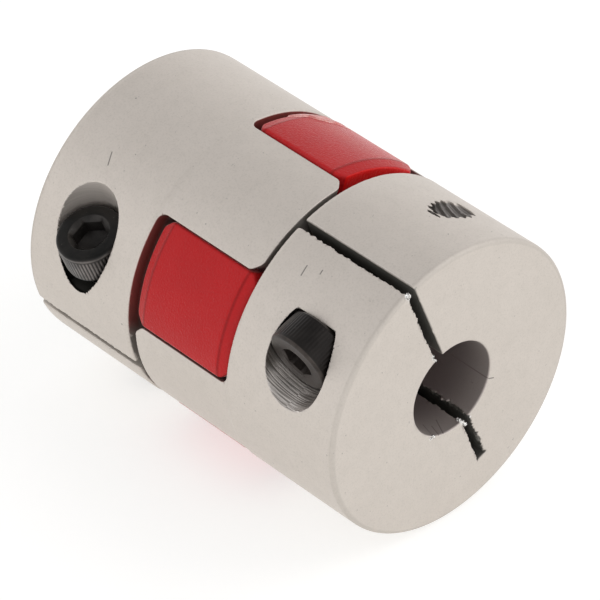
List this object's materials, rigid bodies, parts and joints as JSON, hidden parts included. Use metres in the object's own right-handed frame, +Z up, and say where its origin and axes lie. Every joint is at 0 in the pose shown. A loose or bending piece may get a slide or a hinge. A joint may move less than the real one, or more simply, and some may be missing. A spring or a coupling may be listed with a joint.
{
  "type": "clamp-type jaw coupling",
  "caption": "Flexible jaw coupling: slit clamp hubs with interlocking jaws, an elastomer spider between them and a pinch screw across each slit.",
  "frame": {"origin": "on the coupling's axis, midway between the two outer end faces", "axes": "+X along the axis towards the front hub, +Z up with the coupling lying on its side"},
  "size_m": [0.0342, 0.0261, 0.025],
  "materials": {
    "aluminium": "bead-blasted and clear anodised, fine satin grain",
    "polyurethane": "moulded satin polyurethane, about 98 Shore A",
    "black_oxide": "black oxide alloy steel, lightly oiled"
  },
  "bodies": {
    "front_hub": {"front_hub": "aluminium"},
    "spider": {"spider": "polyurethane"},
    "rear_hub": {"rear_hub": "aluminium"},
    "front_clamp_screw": {"front_clamp_screw": "black_oxide"},
    "rear_clamp_screw": {"rear_clamp_screw": "black_oxide"}
  },
  "joints": [
    {"name": "wind_up", "type": "hinge", "parent": "front_hub", "child": "spider", "pos_m": [0, 0, 0], "axis": [1, 0, 0], "range_deg": [-0.6, 0.6], "stiffness_Nm_per_rad": 0.3},
    {"name": "pull_apart", "type": "slide", "parent": "spider", "child": "rear_hub", "axis": [-1, 0, 0], "range_m": [-0.0003, 0.013]},
    {"name": "front_screw_turn", "type": "hinge", "parent": "front_hub", "child": "front_clamp_screw", "pos_m": [0.01195, -0.00335, 0.00841], "axis": [0, -0.9379, -0.3469], "range_deg": [0, 570]},
    {"name": "rear_screw_turn", "type": "hinge", "parent": "rear_hub", "child": "rear_clamp_screw", "pos_m": [-0.01135, -0.00799, -0.00318], "axis": [0, -0.3697, 0.9291], "range_deg": [-870, 570]}
  ]
}
